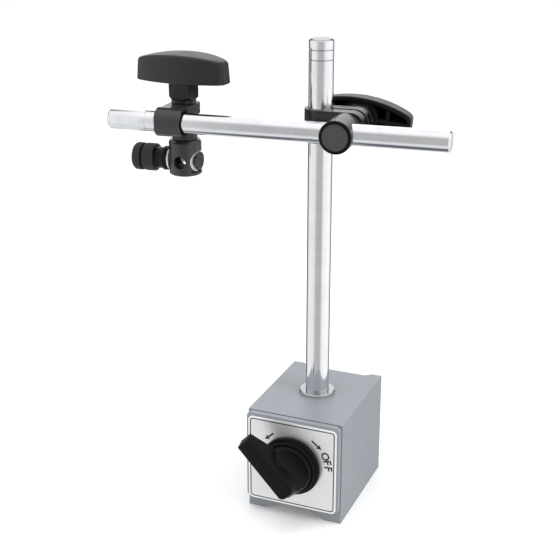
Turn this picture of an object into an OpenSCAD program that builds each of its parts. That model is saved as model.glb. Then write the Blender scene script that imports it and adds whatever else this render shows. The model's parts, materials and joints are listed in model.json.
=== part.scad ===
// Magnetic stand with a switchable base, an upright column, a clamped cross arm and a
// swivelling holder for gauge stems. Millimetres, +Z up. X runs along the base front,
// Y points to the back, the origin is on the floor under the column axis.

/* [Magnetic base] */
// width of the block across the front
base_width = 50; // [40:1:80]
// depth of the steel block, front face to back face
base_depth = 62; // [45:1:90]
// height of the block
base_height = 55; // [45:1:70]
// height of the switch axis above the floor
switch_height = 30.6; // [26:0.1:36]
// depth of the vee running front to back under the block
vee_depth = 6.8; // [3:0.1:9]
// half width of the vee at floor level
vee_half_width = 16.4; // [8:0.1:20]
// depth of the relief in the back face
relief_depth = 2.8; // [0:0.1:4]
// width of the relief in the back face
relief_width = 38.6; // [20:0.1:44]
// thickness of the non-magnetic spacer between the two poles
spacer_thickness = 4; // [2:0.5:8]

/* [Front cover and nameplate] */
// thickness of the front cover
cover_thickness = 3.2; // [2:0.1:6]
// height of the bottom edge of the front cover
cover_bottom = 6.9; // [6:0.1:12]
// width of the nameplate
plate_width = 47; // [30:0.5:48]
// height of the nameplate
plate_height = 46.2; // [30:0.1:47]
// thickness of the nameplate
plate_thickness = 0.8; // [0.4:0.1:2]

/* [Switch] */
// angle of the lever from vertical, on side
lever_angle = 45; // [0:1:90]
// radius of the round boss
boss_radius = 15.5; // [12:0.1:18]
// reach of the lever tip from the axis
lever_reach = 25; // [18:0.5:30]
// distance from block face to the front of the lever
lever_front = 24; // [18:0.5:30]
// diameter of the magnet rotor
rotor_diameter = 33.4; // [24:0.1:34]

/* [Column] */
// diameter of the upright column
column_diameter = 12; // [10:0.5:16]
// height of the column top above the floor
column_top = 235.5; // [150:0.5:300]
// diameter of the foot collar
collar_diameter = 18.4; // [14:0.1:24]

/* [Arm and its clamp] */
// turn of the arm about the column
arm_swing = 5; // [-30:1:60]
// diameter of the arm
arm_diameter = 10; // [8:0.5:12]
// length of the arm
arm_length = 166; // [100:1:250]
// middle of the arm measured along it from the clamp screw
arm_offset = -31.6; // [-60:0.1:60]
// height of the arm axis above the floor
arm_height = 195.3; // [80:0.1:225]
// distance of the arm axis in front of the column axis
arm_reach = 17.4; // [16:0.1:24]
// distance of the clamp screw beside the column axis
screw_offset = 13.9; // [12:0.1:20]
// half height of the column clamp
clamp_half = 7.9; // [6:0.1:10]
// half width of the column clamp across its ears
band_half = 7.75; // [7:0.05:10]

/* [End clamp and holder] */
// place of the end clamp along the arm, from the column axis
end_along = -69; // [-90:0.1:-30]
// distance of the end clamp screw behind the arm axis
end_screw = 16; // [12:0.1:20]
// width of the end clamp along the arm
end_width = 13.4; // [10:0.1:20]
// radius of the holder block
holder_radius = 8.1; // [7:0.1:12]
// height of the holder block
holder_height = 17.5; // [12:0.1:30]
// diameter of the gauge stem hole
stem_diameter = 6; // [4:0.5:8]
// diameter of the knurled nut
nut_diameter = 13.8; // [10:0.1:18]

/* [Wing knobs] */
// half length of the main knob
main_half_length = 26; // [18:0.1:32]
// half width of the main knob
main_half_width = 10.2; // [8:0.1:14]
// turn of the main knob, seen from the front, clockwise
main_turn = 6; // [-90:1:90]
// half length of the end knob
end_half_length = 24; // [18:0.1:32]
// half width of the end knob
end_half_width = 10; // [8:0.1:14]
// turn of the end knob about its screw
end_turn = -6; // [-90:1:90]
// height of a knob's side wall
wing_height = 10.3; // [8:0.1:16]
// height of the dome above the side wall
wing_dome = 3.5; // [0.5:0.1:5]
// half width of a knob at its blunt tips
wing_tip = 4.5; // [1.5:0.1:7]
// turn of the end knob's hexagon nut within the knob
end_hex_turn = 13; // [-30:1:30]
// wall of the hollow knobs
wing_wall = 2.2; // [1.5:0.1:4]

/* [Display] */
// which sub-part to draw

/* [Hidden] */
$fn = 96;
fit = 0.05;                  // running clearance per side
gap = 0.05;                  // axial clearance between stacked faces
by = base_depth / 2;
front = -by;
hw = base_width / 2;
bore_r = rotor_diameter / 2 + 0.3;
cap_back = by - relief_depth;
plate_front = cover_thickness + plate_thickness;
plate_mid = cover_bottom + 0.2 + plate_height / 2;
col_r = column_diameter / 2;
arm_r = arm_diameter / 2;
va = -arm_reach;
ve = va + end_screw;
ue = end_along;
zc = arm_height;
bolt_r = 4;
stud_r = 3;
eye_r = arm_r + 1.25;
sleeve_front = va - 1.4;
sleeve_back = -band_half - gap;
head_front = -26.3;
hold_top = zc - 11.5;
hold_bot = hold_top - holder_height;
stem_z = hold_top - 10.5;
stem_r = stem_diameter / 2;
draw_r = stem_r + 1.6;
seat_u = 5.1;
saddle_r = 5.5;
spot_u = 7.5;
hex_r = 7.5;
stop_r = 12;
ear_r = 8;

// ---------- helpers ----------
// cylinder along +Y starting at y0
module ycyl(r, y0, l, r2 = -1) {
    translate([0, y0, 0]) rotate([-90, 0, 0]) cylinder(h = l, r1 = r, r2 = r2 < 0 ? r : r2);
}
// cylinder along +X starting at x0
module xcyl(r, x0, l, r2 = -1) {
    translate([x0, 0, 0]) rotate([0, 90, 0]) cylinder(h = l, r1 = r, r2 = r2 < 0 ? r : r2);
}
module at_switch() { translate([0, 0, switch_height]) children(); }
// frame turned with the arm: x along the arm, y away from the front
module swing() { rotate([0, 0, arm_swing]) children(); }
// frame on the main clamp screw, still with y along the screw
module at_screw() { swing() translate([screw_offset, 0, zc]) children(); }
module at_end() { swing() translate([ue, ve, 0]) children(); }
// square with rounded corners, made of exact arcs
module rounded(w, h, r) {
    square([w, h - 2 * r], center = true);
    square([w - 2 * r, h], center = true);
    for (i = [-1, 1], j = [-1, 1])
        translate([i * (w / 2 - r), j * (h / 2 - r)]) circle(r);
}

// ---------- base ----------
module block() {
    difference() {
        translate([-hw, front, 0]) cube([base_width, base_depth, base_height]);
        // vee under the block, with a small flat in its apex
        rotate([90, 0, 0]) translate([0, 0, -by - 1]) linear_extrude(base_depth + 2)
            polygon([[-vee_half_width, 0], [-vee_half_width, -1], [vee_half_width, -1],
                [vee_half_width, 0], [1.2, vee_depth], [-1.2, vee_depth]]);
        // relief up the back face with bevelled sides
        translate([0, 0, -1]) linear_extrude(base_height + 2)
            polygon([[-relief_width / 2, by + 1], [-relief_width / 2, by],
                [-relief_width / 2 + relief_depth, cap_back],
                [relief_width / 2 - relief_depth, cap_back],
                [relief_width / 2, by], [relief_width / 2, by + 1]]);
        // rotor bore
        at_switch() ycyl(bore_r, front - 1, base_depth + 2);
        // seat for the column bush
        translate([0, 0, switch_height]) cylinder(h = 40, r = 7);
    }
}
module pole_right() color([0.62, 0.66, 0.71])
    intersection() {
        block();
        translate([spacer_thickness / 2, front - 1, -1]) cube([hw, base_depth + 2, base_height + 2]);
    }
module pole_left() color([0.62, 0.66, 0.71])
    intersection() {
        block();
        translate([-hw - spacer_thickness / 2, front - 1, -1])
            cube([hw, base_depth + 2, base_height + 2]);
    }
module spacer_top() color([0.72, 0.58, 0.3])
    intersection() {
        block();
        translate([-spacer_thickness / 2, front - 1, switch_height])
            cube([spacer_thickness, base_depth + 2, base_height]);
    }
module spacer_bottom() color([0.72, 0.58, 0.3])
    intersection() {
        block();
        translate([-spacer_thickness / 2, front - 1, -1])
            cube([spacer_thickness, base_depth + 2, switch_height]);
    }
module front_cover() color([0.62, 0.66, 0.71])
    difference() {
        h = base_height - 0.2 - cover_bottom;
        union() {
            translate([0, front - cover_thickness, cover_bottom + h / 2]) rotate([-90, 0, 0])
                linear_extrude(cover_thickness - 0.5) rounded(base_width - 0.6, h, 2.6);
            // set-back step that leaves the dark joint line
            translate([0, front - 0.6, cover_bottom + h / 2]) rotate([-90, 0, 0])
                linear_extrude(0.6) rounded(base_width - 2.2, h - 1.6, 2);
        }
        at_switch() ycyl(9, front - cover_thickness - 1, cover_thickness + 2);
    }
module nameplate() color([0.86, 0.87, 0.88])
    difference() {
        translate([0, front - plate_front, plate_mid]) rotate([-90, 0, 0])
            linear_extrude(plate_thickness) rounded(plate_width, plate_height, 2.4);
        at_switch() ycyl(9, front - plate_front - 1, 3);
    }
module front_bush() color([0.78, 0.62, 0.32])
    at_switch() difference() {
        union() {
            ycyl(9 - 0.02, front - plate_front, plate_front);
            ycyl(bore_r, front, 4);
        }
        ycyl(6 + fit, front - 6, 12);
        translate([0, 0, -stop_r]) ycyl(1.5, front + 0.5, 4);
    }
module rear_cap() color([0.62, 0.66, 0.71])
    at_switch() difference() {
        ycyl(bore_r, cap_back - 4, 4);
        ycyl(5 + fit, cap_back - 5, 3.6);
        // two key holes for a pin spanner
        for (i = [-1, 1]) translate([i * 11, 0, 0]) ycyl(1.5, cap_back - 2, 3);
    }
module column_bush() color([0.5, 0.5, 0.52])
    difference() {
        z0 = switch_height + sqrt(pow(bore_r, 2) - 49) + 0.02;
        translate([0, 0, z0]) cylinder(h = base_height - z0, r = 7);
        translate([0, 0, z0 - 1]) cylinder(h = 20, r = bolt_r + fit);
        at_switch() ycyl(bore_r, -9, 18);
    }
// dowel that ends the turn of the switch in the groove of the spindle flange
module stop_pin() color([0.7, 0.7, 0.72])
    at_switch() translate([0, 0, -stop_r]) ycyl(1.5, front + 0.5, 4.5);

// ---------- switch ----------
module lever_frame() { at_switch() rotate([0, -lever_angle, 0]) translate([0, front, 0]) children(); }
tail_slope = atan(3.3 / 12.8);
tail_depth = 14.32;
module switch_handle() color([0.13, 0.13, 0.14])
    lever_frame() difference() {
        union() {
            // stepped round boss with a dished face
            rotate([90, 0, 0]) rotate_extrude() polygon([[0, 4.5], [14.9, 4.5],
                [boss_radius, 5], [boss_radius, 6.4], [15.2, 6.9], [13.9, 7.1], [13.8, 8.7],
                [13.3, 9.2], [12.9, 8.8], [12.6, 8.8], [12.5, 11.1], [12, 11.6],
                [11.3, 11.6], [10.4, 10.7], [0, 10.7]]);
            // lever: z runs to the tip, x across it
            intersection() {
                rotate([0, -90, 0]) translate([0, 0, -8]) linear_extrude(16)
                    polygon([[lever_reach, -lever_front], [lever_reach + 1.1, -17.9],
                        [11.4, -11], [11, -8.9], [-11, -8.9], [-11.9, -11.2],
                        [-8.6, -lever_front]]);
                rotate([90, 0, 0]) linear_extrude(40) polygon([[-3.3, lever_reach + 2],
                    [3.3, lever_reach + 2], [4.7, -9], [4.9, -13], [-4.9, -13], [-4.7, -9]]);
                // rounded tail, along its slope
                rotate([90 - tail_slope, 0, 0]) linear_extrude(60, center = true) union() {
                    translate([-10, 3.4 - tail_depth]) square([20, 60]);
                    translate([-1.4, -tail_depth]) square([2.8, 10]);
                    for (i = [-1, 1]) translate([i * 1.4, 3.4 - tail_depth]) circle(3.4);
                }
            }
            // flared root of the lever, hollowed for thumb and finger
            intersection() {
                ycyl(12.2, -19, 9.5);
                difference() {
                    translate([-11, -18.6, -12]) cube([22, 9.4, 24]);
                    for (i = [-1, 1]) translate([i * 11.6, -18.6, -14]) cylinder(h = 28, r = 7.4);
                }
                rotate([0, -90, 0]) translate([0, 0, -12]) linear_extrude(24)
                    polygon([[13.5, -12], [12.5, -8], [-11, -8], [-11.9, -11.2], [-10, -19],
                        [7, -19]]);
            }
        }
        // square socket for the spindle
        translate([-4.05, -13, -4.05]) cube([8.1, 12, 8.1]);
    }
module switch_spindle() color([0.55, 0.55, 0.57])
    lever_frame() {
        translate([-4, -12.8, -4]) cube([8, 9, 8]);
        ycyl(6, -3.9, 7.95);
        difference() {
            ycyl(rotor_diameter / 2, 4.05, 1.9);
            // quarter-turn groove for the stop pin
            difference() {
                ycyl(stop_r + 1.55, 4, 1.2);
                ycyl(stop_r - 1.55, 3, 4);
                rotate([90, 0, 0]) translate([0, 0, -9]) linear_extrude(9)
                    polygon([[0, 0], [-40, -30.1], [-40, 40], [40, 40], [40, -30.1]]);
            }
        }
    }
module rotor_magnet() color([0.25, 0.25, 0.27])
    lever_frame() intersection() {
        translate([-15, 6, -6]) cube([30, base_depth - relief_depth - 12.2, 12]);
        ycyl(rotor_diameter / 2 - 0.6, 5, base_depth);
    }
module rotor_shoe(side) color([0.5, 0.5, 0.52])
    lever_frame() intersection() {
        ycyl(rotor_diameter / 2, 6, base_depth - relief_depth - 12.2);
        translate([-20, 0, side > 0 ? 6.02 : -26.02]) cube([40, base_depth, 20]);
    }
module rotor_shoe_left() { rotor_shoe(1); }
module rotor_shoe_right() { rotor_shoe(-1); }
module rotor_tail() color([0.55, 0.55, 0.57])
    lever_frame() {
        l = base_depth - relief_depth - 6.2;
        ycyl(rotor_diameter / 2, l, 1.9);
        ycyl(5, l + 1.9, 2.7);
    }

// ---------- column ----------
module column_rod() color([0.82, 0.83, 0.85])
    difference() {
        union() {
            translate([0, 0, base_height + 2]) cylinder(h = column_top - base_height - 2.8, r = col_r);
            translate([0, 0, column_top - 0.8]) cylinder(h = 0.8, r1 = col_r, r2 = col_r - 0.8);
            translate([0, 0, base_height - 5.5]) cylinder(h = 7.5, r = bolt_r);
        }
        // two ring grooves near the top
        for (d = [5.2, 9.8]) translate([0, 0, column_top - d]) difference() {
            cylinder(h = 0.55, r = col_r + 1);
            translate([0, 0, -1]) cylinder(h = 3, r = col_r - 0.3);
        }
    }
module column_collar() color([0.82, 0.83, 0.85])
    difference() {
        union() {
            translate([0, 0, base_height + 0.02]) cylinder(h = 1.48, r = collar_diameter / 2);
            translate([0, 0, base_height + 1.5])
                cylinder(h = 0.45, r1 = collar_diameter / 2, r2 = collar_diameter / 2 - 0.45);
        }
        translate([0, 0, base_height - 1]) cylinder(h = 5, r = bolt_r + 0.02);
    }

// ---------- column clamp ----------
ear_end = screw_offset + 9.1;
ear_round = 6.8;
module column_clamp_band() color([0.12, 0.12, 0.13])
    swing() difference() {
        intersection() {
            translate([0, 0, zc - clamp_half]) linear_extrude(2 * clamp_half) difference() {
                union() {
                    circle(band_half);
                    translate([0, -band_half]) square([ear_end, 2 * band_half]);
                }
                circle(col_r + fit);
                translate([0, -1]) square([ear_end + 1, 2]);
            }
            // rounded ends of the ears
            translate([0, 0, zc]) rotate([90, 0, 0]) translate([0, 0, -20]) linear_extrude(40)
                union() {
                    translate([-12, -clamp_half])
                        square([12 + ear_end - ear_round, 2 * clamp_half]);
                    translate([ear_end - 10, ear_round - clamp_half])
                        square([10, 2 * (clamp_half - ear_round)]);
                    for (i = [-1, 1])
                        translate([ear_end - ear_round, i * (clamp_half - ear_round)])
                            circle(ear_round);
                }
        }
        translate([screw_offset, 0, zc]) ycyl(bolt_r + 0.2, -12, 24);
    }
module main_washer() color([0.15, 0.15, 0.16])
    at_screw() difference() {
        ycyl(6.1, band_half + gap, 1.9);
        ycyl(bolt_r + 0.2, 0, 20);
    }
module clamp_sleeve() color([0.2, 0.2, 0.21])
    at_screw() difference() {
        ycyl(band_half, sleeve_front, sleeve_back - sleeve_front);
        // bore for the eye shank, closed at the back but for the bolt hole
        ycyl(eye_r + fit, sleeve_front - 1, -10.4 - sleeve_front + 1);
        ycyl(bolt_r + 0.2, sleeve_front, 30);
        // fork that straddles the arm
        translate([0, va, 0]) xcyl(arm_r + fit, -20, 40);
        translate([-20, va - 10, -arm_r - fit]) cube([40, 10, 2 * (arm_r + fit)]);
    }
module eye_bolt() color([0.13, 0.13, 0.14])
    at_screw() difference() {
        union() {
            ycyl(band_half - 0.75, head_front, 0.6, band_half);
            ycyl(band_half, head_front + 0.6, sleeve_front - 0.15 - head_front - 0.6);
            ycyl(eye_r, sleeve_front - 0.3, -11.2 - sleeve_front + 0.3);
            ycyl(bolt_r - fit, -11.4, 11.4 + 23);
        }
        // turned recess in the face
        ycyl(6.1, head_front - 1, 1.25);
        translate([0, va, 0]) xcyl(arm_r + fit, -20, 40);
    }

// ---------- wing knobs ----------
// solid lens with drafted sides, z up from the hub side; d shrinks it all round,
// t is the side height at the tips
module lens_both(hl, hwid, d, t, dome) {
    intersection() {
        lens_half(hl, hwid, d, t, dome, 1);
        lens_half(hl, hwid, d, t, dome, -1);
    }
}
module lens_half(hl, hwid, d, t, dome, i) {
    rr = (pow(hl, 2) + pow(hwid - wing_tip, 2)) / (2 * (hwid - wing_tip));
    top = t + dome - d;
    k = tan(4);
    rs = (pow(hl, 2) + pow(dome, 2)) / (2 * dome);
    intersection() {
        translate([0, i * (rr - hwid), 0]) cylinder(h = top + 1, r1 = rr - d, r2 = rr - d - k * (top + 1));
        cylinder(h = top + 1, r1 = hl - d, r2 = hl - d - k * (top + 1));
        translate([0, 0, top - rs]) sphere(r = rs);
    }
}
module wing(hl, hwid, turned = 0) {
    boss = hex_r + 1.8;
    difference() {
        union() {
            difference() {
                lens_both(hl, hwid, 0, wing_height, wing_dome);
                translate([0, 0, -0.01]) lens_both(hl, hwid, wing_wall, wing_height, wing_dome);
            }
            // centre boss and ribs inside the hollow
            intersection() {
                translate([0, 0, 0.8]) lens_both(hl, hwid, 0.9, wing_height, wing_dome);
                union() {
                    cylinder(h = 30, r = boss);
                    translate([-hl, -0.9, 1.2]) cube([2 * hl, 1.8, 30]);
                    for (i = [-1, 1]) translate([i * 14 - 0.8, -hwid, 1.2]) cube([1.6, 2 * hwid, 30]);
                }
            }
        }
        rotate([0, 0, turned]) translate([0, 0, -1]) cylinder(h = 8.1, r = hex_r + fit, $fn = 6);
        cylinder(h = 12, r = bolt_r + 0.1);
    }
}
// hexagon nut moulded into a knob, z up towards the knob; long is its free length
module hex_nut(long, r) {
    difference() {
        intersection() {
            cylinder(h = long + 7, r = hex_r, $fn = 6);
            union() {
                cylinder(h = 1.2, r1 = 6.1, r2 = 7.4);
                translate([0, 0, 1.2]) cylinder(h = long + 6, r = 7.4);
            }
        }
        translate([0, 0, -1]) cylinder(h = long + 9, r = r);
    }
}
main_nut_y = band_half + 2;
main_nut_free = 8.2;
module main_knob_wing() color([0.16, 0.16, 0.17])
    at_screw() translate([0, main_nut_y + main_nut_free, 0]) rotate([-90, 0, 0])
        rotate([0, 0, main_turn]) wing(main_half_length, main_half_width);
module main_knob_nut() color([0.2, 0.2, 0.21])
    at_screw() translate([0, main_nut_y, 0]) rotate([-90, 0, 0])
        rotate([0, 0, main_turn]) hex_nut(main_nut_free, bolt_r);

// ---------- arm ----------
module arm_rod() color([0.82, 0.83, 0.85])
    swing() translate([screw_offset + arm_offset - arm_length / 2, va, zc]) difference() {
        union() {
            xcyl(arm_r - 0.8, 0, 0.8, arm_r);
            xcyl(arm_r, 0.8, arm_length - 1.6);
            xcyl(arm_r, arm_length - 0.8, 0.8, arm_r - 0.8);
        }
        // ring groove towards the holder end
        difference() {
            xcyl(arm_r + 1, 19.4, 0.5);
            xcyl(arm_r - 0.25, 18.4, 3);
        }
    }

// ---------- end clamp ----------
end_ear = 6.4;
end_back = ve + 8;
module end_clamp_band() color([0.13, 0.13, 0.14])
    swing() difference() {
        intersection() {
            translate([ue - end_width / 2, 0, zc]) rotate([90, 0, 90])
                linear_extrude(end_width) difference() {
                    union() {
                        translate([va, 0]) circle(arm_r + 1.9);
                        translate([va, -end_ear]) square([end_back - va, 2 * end_ear]);
                    }
                    translate([va, 0]) circle(arm_r + fit);
                    translate([va, -0.9]) square([40, 1.8]);
                }
            // rounded ends of the ears and softened corners of the band
            translate([0, 0, zc - 20]) linear_extrude(40) union() {
                translate([ue, ve]) circle(ear_r);
                translate([ue - end_width / 2, va]) square([end_width, ve - va]);
                translate([ue, va]) rounded(end_width, 2 * (arm_r + 1.95), 1.2);
            }
        }
        translate([ue, ve, zc - 20]) cylinder(h = 40, r = stud_r + 0.2);
        // chamfered mouths of the bore
        for (i = [0, 1]) translate([ue, va, zc]) rotate([0, 0, 180 * i])
            xcyl(arm_r + fit, end_width / 2 - 0.65, 0.66, arm_r + 0.7);
    }
module end_washer() color([0.15, 0.15, 0.16])
    at_end() difference() {
        translate([0, 0, zc + end_ear + gap]) cylinder(h = 1.9, r = 6.1);
        translate([0, 0, zc]) cylinder(h = 20, r = stud_r + 0.2);
    }
end_nut_z = zc + end_ear + 2;
end_nut_free = 8.6;
module end_knob_nut() color([0.2, 0.2, 0.21])
    at_end() translate([0, 0, end_nut_z]) rotate([0, 0, end_turn + end_hex_turn])
        hex_nut(end_nut_free, stud_r + fit);
module end_knob_wing() color([0.16, 0.16, 0.17])
    at_end() translate([0, 0, end_nut_z + end_nut_free]) rotate([0, 0, end_turn])
        wing(end_half_length, end_half_width, end_hex_turn);

// ---------- holder ----------
module holder_collar() color([0.13, 0.13, 0.14])
    at_end() difference() {
        translate([0, 0, hold_top + gap]) cylinder(h = zc - end_ear - hold_top - 2 * gap, r = 6.2);
        translate([0, 0, zc - 20]) cylinder(h = 20, r = stud_r);
    }
module holder_stud() color([0.45, 0.45, 0.47])
    at_end() translate([0, 0, hold_top - 3.9]) cylinder(h = end_nut_z + 15 - hold_top + 3.9, r = stud_r);
module holder_block() color([0.14, 0.14, 0.15])
    at_end() difference() {
        union() {
            translate([0, 0, hold_bot + 0.6]) cylinder(h = holder_height - 1.8, r = holder_radius);
            translate([0, 0, hold_bot]) cylinder(h = 0.6, r1 = holder_radius - 0.6, r2 = holder_radius);
            translate([0, 0, hold_top - 1.2])
                cylinder(h = 1.2, r1 = holder_radius, r2 = holder_radius - 0.9);
        }
        translate([0, 0, hold_top - 4]) cylinder(h = 10, r = stud_r);
        translate([0, 0, stem_z]) {
            // stem hole from front to back
            ycyl(stem_r, -20, 40);
            // bore for the drawbar, and a rounded saddle with a pocket for its head
            xcyl(draw_r + fit, -20, 24.2);
            xcyl(2.8, 0, 20);
            translate([seat_u + saddle_r, 0, 0]) ycyl(saddle_r, -20, 40);
            xcyl(4.75, 6.45, 6);
            // spot face for the washer
            xcyl(5.6, -12, 12 - spot_u);
        }
        // saw slot under the dovetail seat
        translate([5.2, -10, hold_bot + 1.8]) cube([10, 20, 0.7]);
    }
module drawbar_washer() color([0.9, 0.9, 0.9])
    at_end() translate([0, 0, stem_z]) difference() {
        xcyl(5.3, -spot_u - 0.05 - 0.85, 0.85);
        xcyl(2.5 + fit, -20, 20);
    }
module drawbar() color([0.8, 0.8, 0.82])
    at_end() translate([0, 0, stem_z]) difference() {
        union() {
            xcyl(2.5, -23.5, 18);
            xcyl(draw_r, -6.2, 9.65);
            xcyl(2.7, 3.2, 4.3);
            // dovetail head with a dished back
            difference() {
                union() {
                    xcyl(4.45, 6.75, 1.1);
                    xcyl(4.45, 7.85, 0.45, 4);
                }
                xcyl(4.1, 6.74, 0.55, 2.7);
            }
        }
        ycyl(stem_r + 0.05, -20, 40);
    }
module knurled_nut() color([0.14, 0.14, 0.15])
    at_end() translate([0, 0, stem_z]) {
        r = nut_diameter / 2;
        x0 = -spot_u - 0.95;
        difference() {
            union() {
                // two thin flanges, neck, two knurled bands and a rounded end
                xcyl(5.9, x0 - 1.1, 1.1);
                xcyl(5.5, x0 - 1.4, 0.5);
                xcyl(6, x0 - 2.5, 1.1);
                xcyl(5.3, x0 - 6.4, 4.1);
                xcyl(r - 0.4, x0 - 6.75, 0.4, r - 0.8);
                xcyl(r, x0 - 12.4, 5.7, r);
                xcyl(r - 0.4, x0 - 12.8, 0.41, r);
                xcyl(r - 0.9, x0 - 13.8, 1.2);
                xcyl(r, x0 - 17.2, 3.4);
                xcyl(r - 1.1, x0 - 18.3, 1.11, r);
            }
            xcyl(2.5 + fit, x0 - 16, 30);
        }
    }

// ---------- drawing ----------
pole_left();
pole_right();
spacer_top();
spacer_bottom();
front_cover();
nameplate();
front_bush();
rear_cap();
column_bush();
stop_pin();
switch_handle();
switch_spindle();
rotor_magnet();
rotor_shoe_left();
rotor_shoe_right();
rotor_tail();
column_rod();
column_collar();
column_clamp_band();
main_washer();
clamp_sleeve();
eye_bolt();
main_knob_wing();
main_knob_nut();
arm_rod();
end_clamp_band();
end_washer();
end_knob_wing();
end_knob_nut();
holder_block();
holder_stud();
holder_collar();
drawbar_washer();
drawbar();
knurled_nut();
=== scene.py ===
import json
import math
import bmesh
import bpy
from mathutils import Matrix, Vector


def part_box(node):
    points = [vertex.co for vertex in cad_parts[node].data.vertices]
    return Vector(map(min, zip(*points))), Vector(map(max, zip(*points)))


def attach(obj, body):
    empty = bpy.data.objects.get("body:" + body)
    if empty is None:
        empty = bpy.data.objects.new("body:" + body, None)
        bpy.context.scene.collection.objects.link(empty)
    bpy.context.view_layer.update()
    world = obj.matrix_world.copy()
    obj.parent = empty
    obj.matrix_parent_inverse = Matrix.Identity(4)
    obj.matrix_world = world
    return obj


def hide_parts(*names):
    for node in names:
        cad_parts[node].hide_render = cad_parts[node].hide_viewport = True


# Looks of a magnetic stand for dial indicators. Sizes are in millimetres, in a part's own frame where it
# has one. Blender's objects are in metres, in the frame of the CAD.

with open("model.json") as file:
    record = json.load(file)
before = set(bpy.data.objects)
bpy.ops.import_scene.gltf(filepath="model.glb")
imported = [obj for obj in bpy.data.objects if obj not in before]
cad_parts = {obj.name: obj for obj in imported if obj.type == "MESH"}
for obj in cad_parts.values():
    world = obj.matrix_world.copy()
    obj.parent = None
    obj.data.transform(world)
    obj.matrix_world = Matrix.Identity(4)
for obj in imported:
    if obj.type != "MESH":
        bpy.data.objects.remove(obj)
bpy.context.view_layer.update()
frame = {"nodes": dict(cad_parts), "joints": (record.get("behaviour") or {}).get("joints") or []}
NODES = frame["nodes"]
MM = 0.001                       # metres in a millimetre
TAU = 2 * math.pi
scene = bpy.context.scene

# ------------------------------------------------------------------ frames of the parts
SWING = math.radians(5.0)        # turn of the clamps and the arm about the column
U = Vector((math.cos(SWING), math.sin(SWING), 0))       # along the arm, to the right
V = Vector((-math.sin(SWING), math.cos(SWING), 0))      # along the main screw, to the back
X, Y, Z = Vector((1, 0, 0)), Vector((0, 1, 0)), Vector((0, 0, 1))


def basis(x, y, z, o):
    """4x4 that takes local x, y, z to those directions at origin o."""
    m = Matrix((x, y, z)).transposed().to_4x4()
    m.translation = o
    return m


def centre(node):
    """Middle of a CAD node's box at rest."""
    lo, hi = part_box(node)
    return (lo + hi) / 2


def span(node, d):
    """Lowest and highest reach of a CAD node along a direction, in mm."""
    reach = [d.dot(v.co) / MM for v in NODES[node].data.vertices]
    return min(reach), max(reach)


BLOCK_LO, BLOCK_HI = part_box("pole_left")[0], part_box("pole_right")[1]
PLATE_LO, PLATE_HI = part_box("nameplate")
FRONT_Y = BLOCK_LO.y
SWITCH_Z = centre("front_bush").z
SCREW_C, ARM_C = centre("main_washer"), centre("arm_rod")
STUD_C, STEM_Z = centre("holder_stud"), centre("knurled_nut").z
EYE_FRONT = span("eye_bolt", V)[0] - V.dot(SCREW_C) / MM       # front of the eye bolt's head, along the screw

# radii and places that follow part.scad, in mm
COLUMN_R, ARM_R, STEM_R = 6.0, 5.0, 3.0
EYE_DISH_R, EYE_RING_PITCH = 6.1, 0.62
NUT_R = 6.9
BAND_MOUTH_R = 6.6                 # end clamp, where its faces turn into the bore
BAR_BORE_R = 4.72                  # pocket for the drawbar's head
SADDLE_U, SADDLE_R = 10.6, 5.5     # round hollow in the block's end, its axis level with the stem hole
OXIDE_PITCH = 0.45                 # of the tool lines under black oxide
BLACK = (0.002, 0.002, 0.002)      # recesses that the photograph shows without light

SPACE = {
    "world": Matrix.Identity(4),
    "column": Matrix.Identity(4),
    "arm": basis(V, Z, U, ARM_C),
    "screw": basis(U, -Z, V, Vector((SCREW_C.x, SCREW_C.y, ARM_C.z))),
    "stem": basis(V, Z, U, Vector((STUD_C.x, STUD_C.y, STEM_Z))),
    "stud": basis(U, V, Z, Vector((STUD_C.x, STUD_C.y, 0))),
    "switch": basis(X, -Z, Y, Vector((0, FRONT_Y, SWITCH_Z))),
}


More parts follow.
